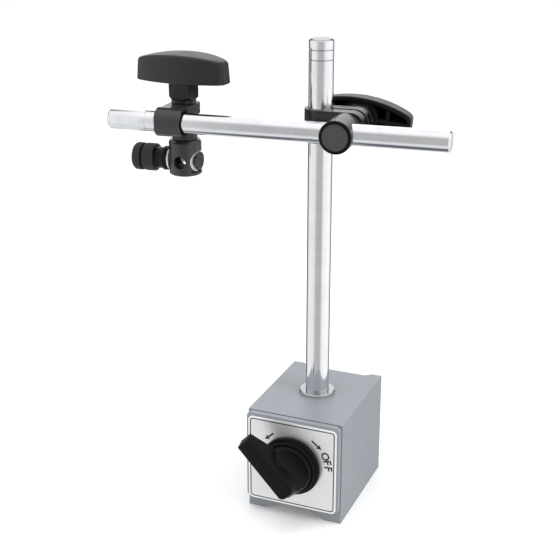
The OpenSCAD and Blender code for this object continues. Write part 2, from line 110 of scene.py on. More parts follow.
# ------------------------------------------------------------------ node helpers
class Mat:
    """A procedural material under construction."""

    metal = 0.0
    spec = 0.5

    def __init__(self, name):
        self.material = bpy.data.materials.new(name)
        self.material.use_nodes = True
        self.tree = self.material.node_tree
        self.shader = next(n for n in self.tree.nodes if n.type == "BSDF_PRINCIPLED")
        self.obj = self.node("ShaderNodeTexCoord").outputs["Object"]

    def node(self, kind, **settings):
        n = self.tree.nodes.new(kind)
        for k, v in settings.items():
            setattr(n, k, v)
        return n

    def put(self, sock, v):
        if isinstance(v, bpy.types.NodeSocket):
            self.tree.links.new(v, sock)
        else:
            sock.default_value = v

    def math(self, op, a, b=0.0):
        n = self.node("ShaderNodeMath", operation=op)
        for sock, v in zip(n.inputs, (a, b)):
            self.put(sock, v)
        return n.outputs[0]

    def vec(self, op, a, b):
        n = self.node("ShaderNodeVectorMath", operation=op)
        for sock, v in zip(n.inputs, (a, b)):
            self.put(sock, v)
        return n.outputs["Value" if op == "DOT_PRODUCT" else "Vector"]

    def space(self, name):
        """Object coordinates taken into one of the parts' frames, in millimetres."""
        inv = SPACE[name].inverted()
        out = self.node("ShaderNodeCombineXYZ")
        for i in range(3):
            d = self.vec("DOT_PRODUCT", self.obj, tuple(Vector(inv[i][:3]) / MM))
            self.put(out.inputs[i], self.math("ADD", d, inv[i][3] / MM))
        return out.outputs[0]

    def split(self, v):
        n = self.node("ShaderNodeSeparateXYZ")
        self.put(n.inputs[0], v)
        return n.outputs

    def hypot(self, a, b):
        """Length of the vector (a, b)."""
        return self.math("SQRT", self.math("ADD", self.math("MULTIPLY", a, a), self.math("MULTIPLY", b, b)))

    def around(self, v, axis=2):
        """(angle, radius, height) of a part frame about one of its axes."""
        s = self.split(v)
        a, b, h = s[(axis + 1) % 3], s[(axis + 2) % 3], s[axis]
        return self.math("ARCTAN2", b, a), self.hypot(a, b), h

    def noise(self, v, scale, detail=3.0, rough=0.5, distort=0.0):
        n = self.node("ShaderNodeTexNoise")
        self.put(n.inputs["Vector"], v)
        for k, x in (("Scale", scale), ("Detail", detail), ("Roughness", rough), ("Distortion", distort)):
            n.inputs[k].default_value = x
        return n.outputs["Fac"]

    def turned(self, place, scale, detail=4.0):
        """Fine lines round a turned part; place and scale are for the angle, the radius and the height."""
        co = self.node("ShaderNodeCombineXYZ")
        for sock, v, x in zip(co.inputs, place, scale):
            self.put(sock, self.math("MULTIPLY", v, x))
        return self.noise(co.outputs[0], 1.0, detail, 0.7)

    def voronoi(self, v, scale):
        n = self.node("ShaderNodeTexVoronoi")
        self.put(n.inputs["Vector"], v)
        n.inputs["Scale"].default_value = scale
        return n.outputs["Distance"]

    def remap(self, v, a, b, lo, hi, smooth=False):
        n = self.node("ShaderNodeMapRange", interpolation_type="SMOOTHSTEP" if smooth else "LINEAR")
        self.put(n.inputs["Value"], v)
        for k, x in (("From Min", a), ("From Max", b), ("To Min", lo), ("To Max", hi)):
            n.inputs[k].default_value = x
        return n.outputs["Result"]

    def mix(self, f, a, b):
        n = self.node("ShaderNodeMix", data_type="RGBA")
        self.put(n.inputs["Factor"], f)
        ins = [s for s in n.inputs if s.type == "RGBA"]
        for s, v in zip(ins, (a, b)):
            self.put(s, v if isinstance(v, bpy.types.NodeSocket) else (*v, 1.0))
        return next(s for s in n.outputs if s.type == "RGBA")

    def bump(self, height, strength, dist):
        n = self.node("ShaderNodeBump")
        n.inputs["Strength"].default_value = strength
        n.inputs["Distance"].default_value = dist
        self.put(n.inputs["Height"], height)
        return n.outputs["Normal"]

    def set(self, **kw):
        names = dict(color="Base Color", rough="Roughness", metal="Metallic", normal="Normal",
                     spec="Specular IOR Level", coat="Coat Weight", coat_rough="Coat Roughness")
        for k, v in kw.items():
            self.put(self.shader.inputs[names[k]], v)
        return self.material


def shade(colour, k):
    """The colour made lighter or darker by a factor."""
    return tuple(min(1.0, x * k) for x in colour)


# ------------------------------------------------------------------ material kinds
# A part's frame is in mm, so noise scales are per mm. Bump depths are in metres.
def enamel(name, joint=None):
    """Stoved blue-grey enamel: orange peel, slight mottling, dust specks; behind y = joint, in mm, painted
    near-black as shade in the recessed step.
    """
    base = (0.228, 0.248, 0.273)
    m = Mat(name)
    p = m.space("world")
    peel = m.noise(p, 1.15, 2.0, 0.45)
    fine = m.noise(p, 5.5, 3.0, 0.6)
    cloud = m.noise(p, 0.06, 3.0, 0.55)
    speck = m.remap(m.voronoi(p, 0.85), 0.04, 0.10, 1.0, 0.0)
    keep = m.remap(m.noise(p, 0.33, 1.0), 0.56, 0.62, 0.0, 1.0)
    speck = m.math("MULTIPLY", speck, keep)
    c = m.mix(cloud, shade(base, 0.93), shade(base, 1.07))
    c = m.mix(m.math("MULTIPLY", fine, 0.16), c, shade(base, 1.25))
    c = m.mix(m.math("MULTIPLY", speck, 0.35), c, shade(base, 0.55))
    # painted shade: near-black in the recessed step behind the given depth
    if joint is not None:
        c = m.mix(m.remap(m.split(p)[1], joint, joint + 0.08, 0.0, 1.0), c, (0.006, 0.006, 0.007))
    scratch = m.noise(m.vec("MULTIPLY", p, (1.0, 14.0, 3.0)), 0.35, 2.0, 0.5)
    scratch = m.remap(scratch, 0.66, 0.72, 0.0, 1.0)
    rough = m.math("ADD", m.remap(peel, 0.3, 0.7, 0.36, 0.48), m.math("MULTIPLY", scratch, 0.08))
    height = m.math("ADD", peel, m.math("MULTIPLY", fine, 0.18))
    height = m.math("SUBTRACT", height, m.math("MULTIPLY", speck, 0.5))
    return m.set(color=c, rough=rough, normal=m.bump(height, 0.42, 0.06 * MM), coat=0.18, coat_rough=0.22)


def machined(name, base, space, axis=2, rough=(0.24, 0.36), pitch=0.35, metal=1.0):
    """Turned or ground metal: fine tool lines round or across the part, with light staining."""
    m = Mat(name)
    p = m.space(space)
    lines = m.turned(m.around(p, axis), (0.8, 1 / pitch, 1 / pitch))
    cloud = m.noise(p, 0.16, 4.0, 0.6)
    grit = m.noise(p, 7.0, 2.0, 0.6)
    c = m.mix(m.remap(cloud, 0.35, 0.7, 0.0, 1.0), base, shade(base, 0.9))
    c = m.mix(m.math("MULTIPLY", lines, 0.22), c, shade(base, 1.3))
    shine = m.math("ADD", m.remap(cloud, 0.3, 0.7, *rough), m.remap(lines, 0.35, 0.65, -0.03, 0.03))
    height = m.math("ADD", m.math("MULTIPLY", lines, 0.9), m.math("MULTIPLY", grit, 0.25))
    return m.set(color=c, rough=shine, metal=metal, normal=m.bump(height, 0.35, 0.012 * MM))


def chrome(name, space, top=None):
    """Hard chrome: faint grinding lines round it, smudges that dull the shine.

    With top, the height of the upper edge in mm, that edge is painted darker as shade, and so are the grooves
    below it.
    """
    m = Mat(name)
    p = m.space(space)
    ang, r, h = m.around(p)
    lines = m.turned((ang, r, h), (0.6, 3.0, 6.0), 3.0)
    smudge = m.noise(p, 0.11, 4.0, 0.62, 0.6)
    wave = m.noise(p, 0.035, 2.0, 0.5)
    c = m.mix(m.remap(smudge, 0.4, 0.75, 0.0, 0.7), (0.80, 0.81, 0.83), (0.70, 0.715, 0.735))
    # painted shade: darker upper edge, and darker grooves under it
    if top is not None:
        c = m.mix(m.remap(h, top - 0.9, top - 0.5, 0.0, 1.0, True), c, (0.44, 0.45, 0.47))
        groove_shade = m.remap(r, COLUMN_R - 0.05, COLUMN_R - 0.12, 0.0, 1.0)
        groove_shade = m.math("MULTIPLY", groove_shade, m.remap(h, top - 1.3, top - 1.0, 1.0, 0.0))
        c = m.mix(groove_shade, c, (0.38, 0.38, 0.40))
    shine = m.math("ADD", m.remap(smudge, 0.4, 0.72, 0.115, 0.16), m.remap(lines, 0.4, 0.7, 0.0, 0.03))
    height = m.math("ADD", m.math("MULTIPLY", lines, 0.5), m.math("MULTIPLY", wave, 2.0))
    return m.set(color=c, rough=shine, metal=1.0, normal=m.bump(height, 0.2, 0.006 * MM))


def plastic(name, base, rough, grain, spec):
    """Moulded black plastic: fine eroded grain, rubbed a little shinier in patches, a little dust here and
    there.
    """
    m = Mat(name)
    p = m.space("world")
    fine = m.noise(p, grain, 3.0, 0.6)
    cells = m.voronoi(p, grain * 1.7)
    rub = m.noise(p, 0.09, 3.0, 0.55, 0.4)
    dust = m.remap(m.noise(p, 2.2, 4.0, 0.7), 0.62, 0.78, 0.0, 1.0)
    c = m.mix(rub, base, shade(base, 1.5))
    c = m.mix(m.math("MULTIPLY", dust, 0.05), c, (0.30, 0.30, 0.29))
    shine = m.math("ADD", m.remap(rub, 0.35, 0.65, *rough), m.remap(fine, 0.3, 0.7, -0.04, 0.04))
    height = m.math("ADD", m.math("MULTIPLY", fine, 0.7), m.math("MULTIPLY", cells, 0.5))
    return m.set(color=c, rough=shine, normal=m.bump(height, 0.55, 0.03 * MM), spec=spec)


def oxide(name, space, base, rough=(0.18, 0.26), paint=None):
    """Black-oxide steel: thin dark film over tool lines, a trace of rub; paint adds painted shade and
    highlights set by place.
    """
    m = Mat(name)
    p = m.space(space)
    place = m.around(p)
    lines = m.turned(place, (1.1, 1 / OXIDE_PITCH, 1 / OXIDE_PITCH))
    cloud = m.noise(p, 0.20, 3.0, 0.5)
    grit = m.noise(p, 6.0, 3.0, 0.65)
    worn = m.remap(m.math("ADD", grit, m.math("MULTIPLY", lines, 0.5)), 0.80, 1.0, 0.0, 0.05)
    c = m.mix(m.remap(cloud, 0.3, 0.7, 0.0, 1.0), shade(base, 0.92), shade(base, 1.10))
    c = m.mix(worn, c, (0.30, 0.29, 0.28))
    if paint:
        c = paint(m, p, place[1], place[2], c)
    shine = m.math("ADD", m.remap(cloud, 0.3, 0.7, *rough), m.remap(grit, 0.3, 0.7, -0.03, 0.03))
    height = m.math("ADD", lines, m.math("MULTIPLY", grit, 0.4))
    return m.set(color=c, rough=shine, metal=m.metal, normal=m.bump(height, 0.4, 0.02 * MM), spec=m.spec)


def paint_eye(m, p, r, h, c):
    """Turned head of the eye bolt: rim painted black as shade, paler dished face with rings."""
    face = m.remap(h, EYE_FRONT + 0.66, EYE_FRONT + 0.60, 0.0, 1.0)
    # painted shade: the head's rim is black
    rim = m.math("MULTIPLY", face, m.remap(r, EYE_DISH_R + 0.05, EYE_DISH_R + 0.15, 0.0, 1.0))
    dish = m.math("MULTIPLY", face, m.remap(r, EYE_DISH_R + 0.02, EYE_DISH_R - 0.08, 0.0, 1.0))
    rings = m.remap(m.math("SINE", m.math("MULTIPLY", r, TAU / EYE_RING_PITCH)), -1.0, 1.0, 0.0, 1.0)
    c = m.mix(dish, c, m.mix(rings, (0.030, 0.030, 0.031), (0.048, 0.048, 0.049)))
    m.spec = m.remap(rim, 0.0, 1.0, 0.5, 0.12)
    return m.mix(rim, c, BLACK)


def paint_nut(m, p, r, h, c):
    """Knurled nut: black painted shade in the grooves and round the neck."""
    # painted shade: black below the knurl's crests
    knurl_shade = m.remap(r, NUT_R - 0.28, NUT_R - 0.04, 0.9, 0.0)
    m.spec = m.remap(knurl_shade, 0.0, 1.0, 0.5, 0.2)
    return m.mix(knurl_shade, c, BLACK)


def paint_band(m, p, r, h, c):
    """End clamp: the faces round the bore are painted black as shade."""
    # painted shade on the faces round the bore
    mouth_shade = m.remap(r, BAND_MOUTH_R, BAND_MOUTH_R - 0.1, 0.0, 1.0)
    m.spec = m.remap(mouth_shade, 0.0, 1.0, 0.5, 0.03)
    return m.mix(mouth_shade, c, (0.001, 0.001, 0.001))


def paint_block(m, p, r, h, c):
    """Holder block: painted black shade inside its bores; the bright rounded saddle beside the drawbar's head
    is bare steel with a painted near-white highlight.
    """
    _, z, u = m.split(p)[0:3]
    from_saddle = m.hypot(m.math("SUBTRACT", u, SADDLE_U), z)
    out = m.remap(h, 4.90, 4.94, 0.0, 1.0)
    # painted highlight: the saddle is near-white and a little metallic
    saddle = m.math("MULTIPLY", out, m.remap(from_saddle, SADDLE_R + 0.12, SADDLE_R + 0.06, 0.0, 1.0))
    m.metal = m.math("MULTIPLY", saddle, 0.25)
    # painted shade: black inside the bores
    bore = m.remap(r, BAR_BORE_R, BAR_BORE_R - 0.06, 0.0, 1.0)
    bore = m.math("MULTIPLY", bore, m.math("SUBTRACT", 1.0, out))
    bore = m.math("MAXIMUM", bore, m.remap(m.hypot(u, z), STEM_R + 0.14, STEM_R + 0.08, 0.0, 1.0))
    m.spec = m.remap(bore, 0.0, 1.0, 0.5, 0.03)
    return m.mix(saddle, m.mix(bore, c, BLACK), (0.93, 0.93, 0.94))


def drawbar_metal():
    """Drawbar: polished bore for the stem at its back; towards the front and inside the block it is painted
    black as shade; dark turned head.
    """
    m = Mat("drawbar_metal")
    p = m.space("stem")
    v, z, u = m.split(p)[0:3]
    fine = m.noise(p, 5.0, 3.0, 0.6)
    bright = m.math("MULTIPLY", m.remap(m.hypot(u, z), STEM_R + 0.30, STEM_R + 0.20, 0.0, 1.0),
                    m.remap(v, 0.9, 1.5, 0.0, 1.0))
    # painted shade: black inside the block, in front of the polished back of the bore
    dark = m.remap(u, 5.0, 4.8, 0.0, 1.0)
    c = m.mix(fine, (0.026, 0.026, 0.027), (0.036, 0.036, 0.037))
    c = m.mix(dark, c, (0.003, 0.003, 0.003))
    c = m.mix(bright, c, (0.92, 0.92, 0.93))
    return m.set(color=c, rough=m.remap(fine, 0.3, 0.7, 0.16, 0.26), metal=bright,
                 normal=m.bump(fine, 0.3, 0.01 * MM), spec=m.remap(dark, 0.0, 1.0, 0.5, 0.03))


def plate_metal():
    """Satin anodised nameplate: fine level brushing, bright rolled rim painted near-white as its highlight.
    """
    m = Mat("plate_metal")
    p = m.space("switch")
    brushed = m.noise(m.vec("MULTIPLY", p, (0.10, 7.0, 7.0)), 1.6, 4.0, 0.7)
    cloud = m.noise(p, 0.05, 3.0, 0.5)
    c = m.mix(brushed, (0.76, 0.77, 0.78), (0.88, 0.885, 0.89))
    c = m.mix(m.math("MULTIPLY", cloud, 0.2), c, (0.74, 0.75, 0.77))
    x, _, z = m.split(m.space("world"))[0:3]
    lo, hi = PLATE_LO / MM, PLATE_HI / MM
    dx = m.math("SUBTRACT", (hi.x - lo.x) / 2, m.math("ABSOLUTE", x))
    dz = m.math("SUBTRACT", (hi.z - lo.z) / 2, m.math("ABSOLUTE", m.math("SUBTRACT", z, (hi.z + lo.z) / 2)))
    # painted highlight: near-white band round the edge
    rim = m.remap(m.math("MINIMUM", dx, dz), 0.75, 0.85, 1.0, 0.0)
    c = m.mix(rim, c, (0.97, 0.97, 0.97))
    rough = m.math("ADD", m.remap(brushed, 0.3, 0.7, 0.30, 0.40), m.remap(cloud, 0.3, 0.7, -0.03, 0.03))
    return m.set(color=c, rough=rough, metal=0.7, normal=m.bump(brushed, 0.18, 0.01 * MM))


def ink():
    """Printed black: slightly uneven film."""
    m = Mat("ink")
    fine = m.noise(m.space("world"), 9.0, 3.0, 0.6)
    base = (0.012, 0.012, 0.014)
    return m.set(color=m.mix(fine, base, shade(base, 2.4)), rough=m.remap(fine, 0.3, 0.7, 0.38, 0.55),
                 normal=m.bump(fine, 0.2, 0.008 * MM))


# ------------------------------------------------------------------ mesh helpers
def new_obj(name, shape, mats, smooth=True):
    """Scene object from a mesh or a bmesh, with one material or a list of them."""
    if isinstance(shape, bmesh.types.BMesh):
        me = bpy.data.meshes.new(name)
        shape.normal_update()
        shape.to_mesh(me)
        shape.free()
    else:
        me = shape
    o = bpy.data.objects.new(name, me)
    scene.collection.objects.link(o)
    for mat in mats if isinstance(mats, (list, tuple)) else [mats]:
        me.materials.append(mat)
    for p in me.polygons:
        p.use_smooth = smooth
    return o


def weld(o):
    w = o.modifiers.new("weld", "WELD")
    w.merge_threshold = 0.002 * MM


def planar(o):
    """Joins the facets that lie in one plane."""
    d = o.modifiers.new("planar", "DECIMATE")
    d.decimate_type = "DISSOLVE"
    d.angle_limit = math.radians(0.6)
    d.delimit = set()


def bevel(o, width, segs, angle=32):
    b = o.modifiers.new("bevel", "BEVEL")
    b.width, b.segments = width * MM, segs
    b.limit_method, b.angle_limit = "ANGLE", math.radians(angle)
    b.use_clamp_overlap = True
    b.miter_outer = "MITER_ARC"


def weighted(o):
    w = o.modifiers.new("weighted", "WEIGHTED_NORMAL")
    w.mode = "FACE_AREA"
    w.weight = 60
    w.keep_sharp = False


def smooth_group():
    """Geometry nodes that shade a CAD mesh smooth without touching it."""
    group = bpy.data.node_groups.new("smooth_all", "GeometryNodeTree")
    for way in ("INPUT", "OUTPUT"):
        group.interface.new_socket("Geometry", in_out=way, socket_type="NodeSocketGeometry")
    start = group.nodes.new("NodeGroupInput")
    shading = group.nodes.new("GeometryNodeSetShadeSmooth")
    end = group.nodes.new("NodeGroupOutput")
    group.links.new(start.outputs[0], shading.inputs["Geometry"])
    group.links.new(shading.outputs[0], end.inputs[0])
    return group


SMOOTH = smooth_group()


def dress(node, mat, width=0.0, segs=2):
    """A CAD node kept as it is, with its material and its edges broken by width mm."""
    o = NODES[node]
    for slot in o.material_slots:
        slot.material = mat
    if not o.material_slots:
        o.data.materials.append(mat)
    if width:
        weld(o)
        planar(o)
        o.modifiers.new("smooth", "NODES").node_group = SMOOTH
        bevel(o, width, segs)
        weighted(o)


def revolve(name, profile, matrix, mats, steps=96, radius_fn=None):
    """Closed body of revolution; profile is a list of (height, radius) in mm along local z."""
    bm = bmesh.new()
    rings = []
    for h, r in profile:
        if r < 1e-6:
            rings.append([bm.verts.new((0, 0, h * MM))])
            continue
        ring = []
        for i in range(steps):
            a = TAU * i / steps
            q = radius_fn(a, h, r) if radius_fn else r
            ring.append(bm.verts.new((q * MM * math.cos(a), q * MM * math.sin(a), h * MM)))
        rings.append(ring)
    starts_on_axis = len(rings[0]) == 1
    following = rings[1:] if starts_on_axis else rings[1:] + rings[:1]
    for a, b in zip(rings, following):
        if len(a) == 1 and len(b) == 1:
            continue
        for i in range(steps):
            j = (i + 1) % steps
            if len(a) == 1:
                bm.faces.new((a[0], b[i], b[j]))
            elif len(b) == 1:
                bm.faces.new((a[i], b[0], a[j]))
            else:
                bm.faces.new((a[i], b[i], b[j], a[j]))
    bmesh.ops.recalc_face_normals(bm, faces=bm.faces)
    bm.transform(matrix)
    return new_obj(name, bm, mats)


def finish_mesh(o, angle=32):
    """Smooth shading with the true edges kept crisp."""
    bm = bmesh.new()
    bm.from_mesh(o.data)
    bmesh.ops.remove_doubles(bm, verts=bm.verts, dist=1e-7)
    for f in bm.faces:
        f.smooth = True
    for e in bm.edges:
        if len(e.link_faces) == 2:
            e.smooth = e.calc_face_angle(0.0) < math.radians(angle)
    bm.to_mesh(o.data)
    bm.free()


def set_materials(o, *mats):
    o.data.materials.clear()
    for mat in mats:
        o.data.materials.append(mat)


def apply_modifiers(o):
    """Puts the object's modifiers into its mesh."""
    graph = bpy.context.evaluated_depsgraph_get()
    me = bpy.data.meshes.new_from_object(o.evaluated_get(graph))
    old = o.data
    o.modifiers.clear()
    o.data = me
    bpy.data.meshes.remove(old)


def boolean(o, tool, op):
    """Joins the tool to the object or cuts with it, and uses the tool up."""
    b = o.modifiers.new("cut", "BOOLEAN")
    b.object, b.operation, b.solver = tool, op, "EXACT"
    apply_modifiers(o)
    bpy.data.objects.remove(tool)


def slab(w, h, d, at):
    """Box of w by h by d mm with its centre at a point, for cutting and joining only."""
    bm = bmesh.new()
    bmesh.ops.create_cube(bm, size=1)
    for v in bm.verts:
        v.co = Vector((v.co.x * w + at[0], v.co.y * h + at[1], v.co.z * d + at[2])) * MM
    return new_obj("tool", bm, [])


def prism(points, lo, hi, matrix=Matrix.Identity(4), name="tool", mats=()):
    """Outline pushed along local z from lo to hi, in mm."""
    bm = bmesh.new()
    a = [bm.verts.new((x * MM, y * MM, lo * MM)) for x, y in points]
    b = [bm.verts.new((x * MM, y * MM, hi * MM)) for x, y in points]
    n = len(points)
    bm.faces.new(a)
    bm.faces.new(b)
    for i in range(n):
        bm.faces.new((a[i], a[(i + 1) % n], b[(i + 1) % n], b[i]))
    bmesh.ops.recalc_face_normals(bm, faces=bm.faces)
    bm.transform(matrix)
    return new_obj(name, bm, list(mats))


def arc(cx, cy, r, start, end, n):
    """n + 1 points on an arc, from start to end degrees."""
    turns = [math.radians(start + (end - start) * i / n) for i in range(n + 1)]
    return [(cx + r * math.cos(t), cy + r * math.sin(t)) for t in turns]


def place(o, body, slot, nodes=()):
    """Rides the piece on a body and hides the CAD nodes it stands for."""
    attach(o, body)
    if nodes:
        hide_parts(*nodes)


# ------------------------------------------------------------------ materials
M_ENAMEL = enamel("enamel")
# the cover's recessed step is painted near-black as shade
M_COVER = enamel("enamel_cover", joint=FRONT_Y / MM - 0.66)
M_GROUND = machined("ground_steel", (0.42, 0.42, 0.43), "world", axis=1, rough=(0.26, 0.38), pitch=0.5)
M_BRASS = machined("spacer_brass", (0.60, 0.44, 0.18), "world", axis=1, rough=(0.28, 0.4), pitch=0.5)
M_PLATE = plate_metal()
M_INK = ink()
M_BRONZE = machined("bush_bronze", (0.55, 0.38, 0.17), "switch")
M_STEEL = machined("plain_steel", (0.45, 0.45, 0.46), "world")
M_BRIGHT = machined("bright_steel", (0.92, 0.92, 0.93), "stem", rough=(0.14, 0.22), pitch=0.25, metal=0.35)
M_COLUMN = chrome("chrome_column", "column", top=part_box("column_rod")[1].z / MM)
M_COLLAR = chrome("chrome_collar", "column", top=BLOCK_HI.z / MM + 1.5)
M_ARM = chrome("chrome_arm", "arm")
M_SWITCH = plastic("switch_plastic", (0.0022, 0.0022, 0.0025), (0.30, 0.40), 2.6, 0.13)
M_KNOB = plastic("knob_plastic", (0.007, 0.007, 0.0075), (0.34, 0.44), 3.0, 0.45)
# darker copy of the knob's plastic: painted shade inside the hollow knobs
M_KNOB_SHADED_IN = plastic("knob_inside_shaded", (0.004, 0.004, 0.0042), (0.5, 0.6), 3.0, 0.15)
M_BAND = oxide("oxide_band", "column", (0.006, 0.006, 0.0065))
M_SCREW = oxide("oxide_screw", "screw", (0.030, 0.030, 0.031))
M_EYE = oxide("oxide_eye", "screw", (0.030, 0.030, 0.031), paint=paint_eye)
# darker copy of the screw's oxide: painted shade on the washer under the main knob
M_WASHER_SHADED = oxide("oxide_washer_shaded", "screw", (0.008, 0.008, 0.0085))
M_END = oxide("oxide_end", "arm", (0.020, 0.020, 0.021), paint=paint_band)
# dark oxide as painted shade on the washer, nut and collar under the end knob and the end clamp
M_STUD_SHADED = oxide("oxide_stud_shaded", "stud", (0.008, 0.008, 0.0085))
M_BLOCK = oxide("oxide_block", "stem", (0.024, 0.024, 0.025), paint=paint_block)
M_NUT = oxide("oxide_stem", "stem", (0.026, 0.026, 0.027), paint=paint_nut)
M_DRAWBAR = drawbar_metal()
M_MAGNET = oxide("magnet", "switch", (0.12, 0.12, 0.13), rough=(0.5, 0.6))

# ------------------------------------------------------------------ rods
CHAMFER = [(0.0, 0.8), (0.05, 0.75), (0.75, 0.05), (0.85, 0.0)]       # (from the end, in from the side)


def rod(name, node, space, lo, hi, r, grooves, mat, foot=()):
    """Ground rod with chamfered ends and grooves (place, width, depth); a foot replaces the lower end."""
    profile = [(lo, 0)]
    profile += foot or [(lo + h, r - d) for h, d in CHAMFER]
    for at, width, depth in grooves:
        profile += [(at, r), (at + 0.04, r - depth), (at + width - 0.04, r - depth), (at + width, r)]
    profile += [(hi - h, r - d) for h, d in reversed(CHAMFER)]
    profile += [(hi, 0)]
    o = revolve(name, profile, SPACE[space], mat, 192)
    finish_mesh(o, 40)
    place(o, space, "chromed", (node,))


FOOT_R, FOOT_LENGTH = 4.0, 7.5
foot_z, top_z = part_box("column_rod")[0].z / MM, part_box("column_rod")[1].z / MM
rod("column_bar", "column_rod", "column", foot_z, top_z, COLUMN_R,
    [(top_z - 9.8, 0.55, 0.3), (top_z - 5.2, 0.55, 0.3)], M_COLUMN,
    [(foot_z, FOOT_R), (foot_z + FOOT_LENGTH, FOOT_R), (foot_z + FOOT_LENGTH, COLUMN_R)])
arm_lo, arm_hi = span("arm_rod", U)
arm_half = (arm_hi - arm_lo) / 2
rod("arm_bar", "arm_rod", "arm", -arm_half, arm_half, ARM_R, [(-arm_half + 19.4, 0.5, 0.25)], M_ARM)

# ------------------------------------------------------------------ block
VEE_HALF, VEE_TOP, GAP_HALF = 16.4, 6.8, 1.2              # vee under the block, and the gap between the poles
LAND_INNER, RELIEF = 19.3, 2.8                            # rear lands, and the relief between them
CAP_R, CAP_DEPTH = 17.02, 4.2
x0, x1 = BLOCK_LO.x / MM, BLOCK_HI.x / MM
y0, y1 = BLOCK_LO.y / MM, BLOCK_HI.y / MM
block_top = BLOCK_HI.z / MM
ON_END = Matrix.Rotation(math.radians(90), 4, "X")        # local z of an outline or a profile to -y

block = prism([(x0, 0), (-VEE_HALF, 0), (-GAP_HALF, VEE_TOP), (GAP_HALF, VEE_TOP), (VEE_HALF, 0), (x1, 0),
               (x1, block_top), (x0, block_top)], -y1, -y0, ON_END, "block")
floor_half = LAND_INNER - RELIEF
relief = [(-LAND_INNER, y1 + 1), (-LAND_INNER, y1), (-floor_half, y1 - RELIEF), (floor_half, y1 - RELIEF),
          (LAND_INNER, y1), (LAND_INNER, y1 + 1)]
boolean(block, prism(relief, -2, block_top + 2), "DIFFERENCE")
cap_m = basis(X, Z, -Y, Vector((0, (y1 - RELIEF) * MM, SWITCH_Z)))
cap_hole = revolve("tool", [(-1, CAP_R), (CAP_DEPTH, CAP_R), (CAP_DEPTH, 0), (-1, 0)], cap_m, [])
boolean(block, cap_hole, "DIFFERENCE")
set_materials(block, M_ENAMEL, M_GROUND, M_BRASS)
for p in block.data.polygons:
    c, n = p.center / MM, p.normal
    ground = n.z < -0.5 or (n.y > 0.9 and c.y > y1 - 0.1)
    spacer = abs(c.x) < GAP_HALF + 0.1 and abs(c.z - VEE_TOP) < 0.2
    p.material_index = 2 if spacer else int(ground)
    p.use_smooth = True
bevel(block, 0.35, 3, 30)
weighted(block)
place(block, "base", "casing_paint", ("pole_left", "pole_right", "spacer_top", "spacer_bottom"))

# ------------------------------------------------------------------ CAD nodes kept as they are
for node, mat, width, segs in (
        ("front_cover", M_COVER, 0.22, 2),
        ("rear_cap", M_ENAMEL, 0.18, 2),
        ("nameplate", M_PLATE, 0.12, 2),
        ("column_collar", M_COLLAR, 0.12, 2),
        ("column_clamp_band", M_BAND, 0.35, 3),
        ("main_washer", M_WASHER_SHADED, 0.2, 2),
        ("clamp_sleeve", M_SCREW, 0.15, 2),
        ("eye_bolt", M_EYE, 0.15, 2),
        ("main_knob_nut", M_SCREW, 0.18, 2),
        ("end_clamp_band", M_END, 0.45, 3),
        ("end_washer", M_STUD_SHADED, 0.2, 2),
        ("end_knob_nut", M_STUD_SHADED, 0.18, 2),
        ("holder_block", M_BLOCK, 0.15, 2),
        ("holder_collar", M_STUD_SHADED, 0.3, 2),
        ("drawbar_washer", M_BRIGHT, 0.12, 2),
        ("drawbar", M_DRAWBAR, 0.1, 2)):
    dress(node, mat, width, segs)
for node in ("column_bush", "stop_pin", "switch_spindle", "rotor_shoe_left", "rotor_shoe_right", "rotor_tail",
             "holder_stud"):
    dress(node, M_STEEL)
dress("front_bush", M_BRONZE)
dress("rotor_magnet", M_MAGNET)


# ------------------------------------------------------------------ wing knobs
WALL, SHOULDER = 2.2, 1.9                   # thickness, and the rounding at the top edge
TIP, CORNER_BLEND = 4.5, 2.6                # blunt end of the lens outline, and how softly its corners turn
DRAFT = math.tan(math.radians(4))           # how fast the sides lean in
HUB_R, THREAD_R, HEX_R = 9.3, 4.1, 7.55
SPINE, RIB, RIB_AT = 1.8, 1.6, 14.0         # thickness of the long rib and of the cross ribs, and their place
WING_STEPS = 160


def smooth_min(a, b, k):
    """The smaller of two values, blended where they are less than k apart."""
    h = max(0.0, min(1.0, 0.5 + 0.5 * (b - a) / k))
    return b * (1 - h) + a * h - k * h * (1 - h)


def hexagon(r, turn):
    """Corners of a hexagon, turned by degrees."""
    turns = [math.radians(60 * i + turn) for i in range(6)]
    return [(r * math.cos(t), r * math.sin(t)) for t in turns]


